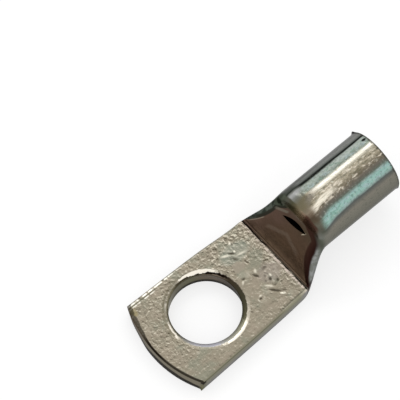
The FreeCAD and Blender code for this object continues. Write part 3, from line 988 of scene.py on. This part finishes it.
def barrelFinish(finish, coat, vector, x, y, z):
    # painted reflections drawn out along the barrel as bands, with a wobble, and bent round towards
    # the shoulder
    angle = finish.degrees(y, z - axisHeight)
    drawn = finish.vector(x * 0.3, angle * 0.16, 0.0)
    wobble = (finish.noise(drawn, 1.0, 3) - 0.5) * 5
    swing = x.fade(16.4, 13.8) * 9 * angle.fade(10, -4)
    bend = x.fade(17.5, 14.5) * 1.5 * angle.fade(25, 35)
    bend = bend + x.fade(14.5, 13.4) * 5 * angle.fade(4, 26)
    bend = bend - x.fade(19.0, 22.0) * 2 * angle.fade(30, 36)
    turned = angle + wobble + swing - bend + x.fade(19.0, 16.0) * 2.5 * angle.fade(-36, -42)
    barrel = Coat(finish, finish.ramp(turned, reflectionStreaks, -100, 100))
    # the painted reflection duller above the black band towards the mouth
    barrel.lay(turned.band(46, 62, 4) * x.fade(16.5, 20) * 0.75, "barrelDull")
    # darker and lighter patches in the middle painted reflections, and a painted highlight streak
    # by the shoulder
    patches = finish.noise(finish.vector(x * 0.9, angle * 0.15, 3.0), 1.5, 4, 0.6)
    brushed = finish.noise(finish.vector(x * 0.5, angle * 0.35, 5.0), 1.2, 3, 0.6)
    middle = turned.band(-17, 1, 5)
    barrel.lay(patches.fade(0.48, 0.36) * middle * 0.65, "patchDark")
    barrel.lay(patches.fade(0.52, 0.62) * middle * 0.85, "patchBright")
    # the strip lamp's highlight band, partly painted, with its edge, patches and duller end by the
    # shoulder
    strip = turned.band(4, 14, 2)
    barrel.lay(turned.band(2, 6, 1.5) * x.fade(19.0, 21.0) * 0.6, "stripEdge")
    barrel.lay(strip * patches.fade(0.52, 0.36) * 0.55, "stripPatch")
    barrel.lay(strip * x.fade(17.0, 15.3), "stripEnd")
    # a painted highlight streak by the shoulder
    bright = turned.band(-12.5, -7, 3.5) * x.fade(14.0, 15.0) * x.fade(18.8, 16.2)
    barrel.lay(bright * brushed.fade(0.38, 0.52, 0.45, 1.0), "brightStreak")
    # whitish and darker patches in the teal painted reflections
    clouds = finish.noise(finish.vector(x * 0.8, angle * 0.1, 9.0), 1.4, 4, 0.65)
    teal = turned.band(-43, -31, 2) + turned.band(18, 30, 3) * 0.8
    barrel.lay(teal * clouds.fade(0.52, 0.64) * 0.6, "tealPale")
    barrel.lay(teal * clouds.fade(0.48, 0.36) * 0.6, "tealDeep")
    pale = turned.band(24, 31, 4) * x.fade(17.8, 19.2) * clouds.fade(0.36, 0.52)
    barrel.lay(pale * 0.7, "tealWhite")
    # fine flecks, fewer on the bright patch
    fine = finish.noise(vector, 3.2, 3, 0.6)
    barrel.lay(fine.fade(0.5, 0.3) * 0.45 * bright.fade(0.4, 0.0), "fleckDark")
    barrel.lay(fine.fade(0.54, 0.75) * 0.4 * angle.band(-44, 30, 5), "fleckBright")
    # the shoulder's own painted reflections, running out along the barrel
    start = angle.fade(4, 14, 15.2, 15.8)
    barrel.lay(x.fade(start, start - 1.1),
               finish.ramp(angle + wobble - bend, shoulderReflections, -100, 100))
    coat.lay(x.fade(12.2, 13.6), barrel.colour, fine.fade(0.3, 0.7, 0.22, 0.32))
    # the mouth's lip, darker, and black on the left
    lip = (x + (fine - 0.5) * 0.9).fade(mouthX - 0.28, mouthX - 0.14)
    coat.lay(lip * 0.8, "mouthLip")
    coat.lay((x + (angle - 44) * 0.0167).fade(mouthX - 0.12, mouthX)
             * angle.fade(38, 46) * angle.fade(88, 78), "mouthBlack")
    coat.lay(spot(x, angle, mouthX - 0.5, 25, 0.35, 3.5), "mouthSpot")
    coat.lay(x.fade(mouthX - 0.05, mouthX - 0.02), "mouthFace")


def neckColour(finish, vector, x, y):
    # the neck's two flanks, mottled, in painted light and shade that leaves the left one much
    # darker
    uneven = finish.noise(vector, 1.5, 4, 0.6)
    mottle = uneven.fade(0.4, 0.62)
    near = finish.blend(mottle, "flareNear", "flareNearDull")
    far = finish.blend(mottle, "flareFar", "flareFarPale")
    near = finish.blend(x.fade(12.4, 13.4), near, "neckNear")
    far = finish.blend(x.fade(12.2, 13.2), far,
                       finish.blend(uneven.fade(0.44, 0.56), "neckFar", "neckFarPale"))
    return finish.blend(y.fade(-0.5, 1.5), near, far)


def rampPlace(x, z):
    # how far up the ramp from its foot, and how far proud of its face
    along, rise = x - lug["footX"], z - palmTop
    return (along * math.cos(rampSlope) + rise * math.sin(rampSlope),
            rise * math.cos(rampSlope) - along * math.sin(rampSlope))


def rampFinish(finish, coat, vector, x, y, z, broad):
    # pressed ramp, smooth, in dark painted reflections, with painted shade darker still where it
    # rounds over at its sides
    foot = lug["footX"]
    up, proud = rampPlace(x, z)
    neck = x.fade(foot - 0.04, foot + 0.01) * x.fade(14.2, 13.4)
    flank = x.fade(13.5, 13.1) + (abs(y) + (broad - 0.5) * 1.5).fade(2.5, 3.1)
    coat.lay(neck * flank.maths("MINIMUM", 1.0), neckColour(finish, vector, x, y), 0.3)
    uneven = (broad - 0.5) * 0.3
    # outlines of the smooth face: two on the right, as its rounding fades in, and one on the left
    square = up * up
    inner = square * -0.125 + up * 1.1 - 5.15 + up.fade(4.8, 6.2) * 2.1
    outer = square * -0.08 + up * 0.78 - 5.6 + up.fade(4.8, 6.8) * 1.45
    far = square * 0.085 - up * 0.98 + 5.45 - up.fade(4.6, 6.0)
    pressed = neck * up.fade(7.2, 6.4) * proud.fade(-2.2, -1.4)
    # painted shade along the face's left side
    coat.lay(pressed * (y - far).fade(0.55, 0.3) * y.fade(0, 1) * up.fade(1.2, 2.2, 0.5, 1.0),
             "rampFar", 0.25)
    coat.lay(pressed * up.fade(5.65, 6.0), finish.ramp(y, crest, -3.4, 3.4))
    edge = finish.blend((y - outer).fade(0.1, 0.9), "rampEdge", "rampEdgePale")
    soft = up.fade(4.0, 6.0, 0.1, 0.5)
    coat.lay(pressed * ((y - outer + uneven) / soft).fade(-1.2, 1.4)
             * (y - inner).fade(0.3, 0.0) * y.fade(0.5, 0.0), edge, 0.25)
    # the face between them
    face = Coat(finish, finish.ramp(up + (broad - 0.5) * up.fade(1.6, 0.3), rampTones, 0, 7))
    face.lay((y + up * 0.6).fade(2.2, 4.4) * 0.6, "rampWarm")
    face.lay(broad.fade(0.42, 0.62) * 0.35, "rampMottle")
    # a painted sheen across the face, and a painted highlight along its left edge
    sheen = (up + abs(y - 0.1) * 0.42 + uneven).band(3.0, 3.2, 0.3) * y.band(-1.9, 2.3, 0.6)
    face.lay(sheen * 0.5, "rampSheen")
    ridgeHighlight = (far - y).band(0.0, 0.08, 0.08) * up.band(0.9, 2.4, 0.3) * y.fade(1, 2)
    face.lay(ridgeHighlight * 0.8, "rampRidge")
    facet = (pressed * (far - y).fade(-0.08, 0.04) * (y - inner + uneven).fade(-0.14, 0.14)
             * up.fade(6.05, 5.65))
    coat.lay(facet, face.colour, up.fade(0.4, 1.3, 0.45, 0.24))
    # painted reflections at the start of the shoulder
    start = (x + (broad - 0.5) * 0.4).band(13.42, 13.72, 0.16) * z.fade(6.9, 7.3)
    coat.lay(start * abs(y).fade(3.1, 2.6),
             finish.ramp(y + (broad - 0.5) * 1.2, shoulderFoot, -3.2, 3.4))
    # painted highlight on the corner of the crest on the left
    corner = (up + (y - 2.0) * 0.5).band(5.0, 5.2, 0.15) * y.band(1.5, 2.8, 0.3)
    coat.lay(pressed * corner * 0.45, "crestWorn")
    # painted shade along the foot's crease
    coat.lay((x + (broad - 0.5) * 0.35).band(foot - 0.18, foot - 0.05, 0.06)
             * (broad + y.fade(0, 3) * 0.4).fade(0.35, 0.6, 0.45, 1.0), "rampFoot")


def insideFinish(finish, coat, x, y, z):
    # the bore, and the slit in painted shade, with a painted glint at the slit's right end
    up, proud = rampPlace(x, z)
    reach = finish.distance(0.0, y, z - axisHeight)
    bore = reach.fade(boreRadius + 0.14, boreRadius + 0.04) * x.fade(14.4, 15.0)
    coat.lay(bore, "inside", 0.4)
    glint = (up + y * 1.15).band(2.98, 3.08, 0.08) * y.band(-1.72, -1.42, 0.1)
    coat.lay(glint * x.fade(lug["crestX"], lug["crestX"] - 0.3) * proud.fade(-0.1, 0.0) * 0.8,
             "slitGlint")
    slit = (abs(y - cuts["slitSide"]).fade(1.8, 1.7) * up.band(1.6, 5.6, 0.1)
            * proud.fade(-0.03, -0.12) * proud.fade(-3.4, -3.2))
    coat.lay(slit, "slit", 0.6)


# camera and light
studio = {
    "azimuth": -41.671,        # where the camera stands round the lug, and how high
    "elevation": 66.63,
    "roll": 0.221,
    "distance": 461.243,
    "right": 0.7285,           # stud hole, how far right of the view's middle and below it
    "down": 12.9,
    "lens": 378.63,
    "floorHalf": 600,          # from its middle to each side
    "floorShade": 0.36,
    "floorWhite": 0.7,
    "skyFill": 0.85,
    "stripPlace": (0.12, 0.29, 0.39),
    "stripSize": (0.5, 0.12),
    "stripPower": 0.35,
}


def placeCamera():
    azimuth, elevation = (math.radians(studio[k]) for k in ("azimuth", "elevation"))
    back = Vector((math.sin(azimuth) * math.cos(elevation),
                   -math.cos(azimuth) * math.cos(elevation), math.sin(elevation)))
    right = Vector((math.cos(azimuth), math.sin(azimuth), 0))
    up = back.cross(right)
    turn = math.radians(studio["roll"])
    tiltedRight = right * math.cos(turn) + up * math.sin(turn)
    tiltedUp = up * math.cos(turn) - right * math.sin(turn)
    camera = linkObject("camera", bpy.data.cameras.new("camera"))
    camera.data.lens = studio["lens"]
    camera.matrix_world = Matrix((tiltedRight, tiltedUp, back)).transposed().to_4x4()
    camera.location = (back * studio["distance"] - tiltedRight * studio["right"]
                       + tiltedUp * studio["down"]) * mm
    bpy.context.scene.camera = camera


def addLamp(name, place, size, strength):
    data = bpy.data.lights.new(name, "AREA")
    data.shape = "RECTANGLE"
    data.size, data.size_y = size
    data.energy = strength
    lamp = linkObject(name, data)
    lamp.location = place
    lamp.rotation_euler = Vector(place).to_track_quat("Z", "Y").to_euler()


def seenDirectly(finish):
    # 1 for rays from the camera, off metal or through glass, and 0 for the light on surfaces
    path = finish.node("ShaderNodeLightPath")
    camera, glossy, through = finish.outputs(path, "Is Camera Ray", "Is Glossy Ray",
                                             "Is Transmission Ray")
    return (camera + glossy + through).maths("MINIMUM", 1.0)


def buildFloor():
    bm = bmesh.new()
    bmesh.ops.create_grid(bm, x_segments=1, y_segments=1, size=studio["floorHalf"])
    floor = makeObject("floor", bm)
    material = bpy.data.materials.new("paper")
    finish = Finish(material)
    shade = studio["floorShade"]
    finish.set("Base Color", (shade, shade, shade, 1))
    finish.set("Roughness", 0.9)
    finish.set("Specular IOR Level", 0.0)
    finish.set("Emission Color", (1, 1, 1, 1))
    finish.set("Emission Strength", seenDirectly(finish) * studio["floorWhite"])
    floor.data.materials.append(material)


def buildWorld():
    world = bpy.data.worlds.new("studio")
    bpy.context.scene.world = world
    finish = Finish(world, "Background")
    finish.set("Color", (1, 1, 1, 1))
    finish.set("Strength", seenDirectly(finish) * (1 - studio["skyFill"]) + studio["skyFill"])


bpy.context.scene.view_settings.view_transform = "Standard"
placeCamera()
buildFloor()
buildWorld()
addLamp("strip", studio["stripPlace"], studio["stripSize"], studio["stripPower"])
print("studio ready")

lugPiece = buildLug()
lugPiece.data.materials.append(tinnedCopper())
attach(lugPiece, "root")
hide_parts("cable_lug")
print("lug ready")
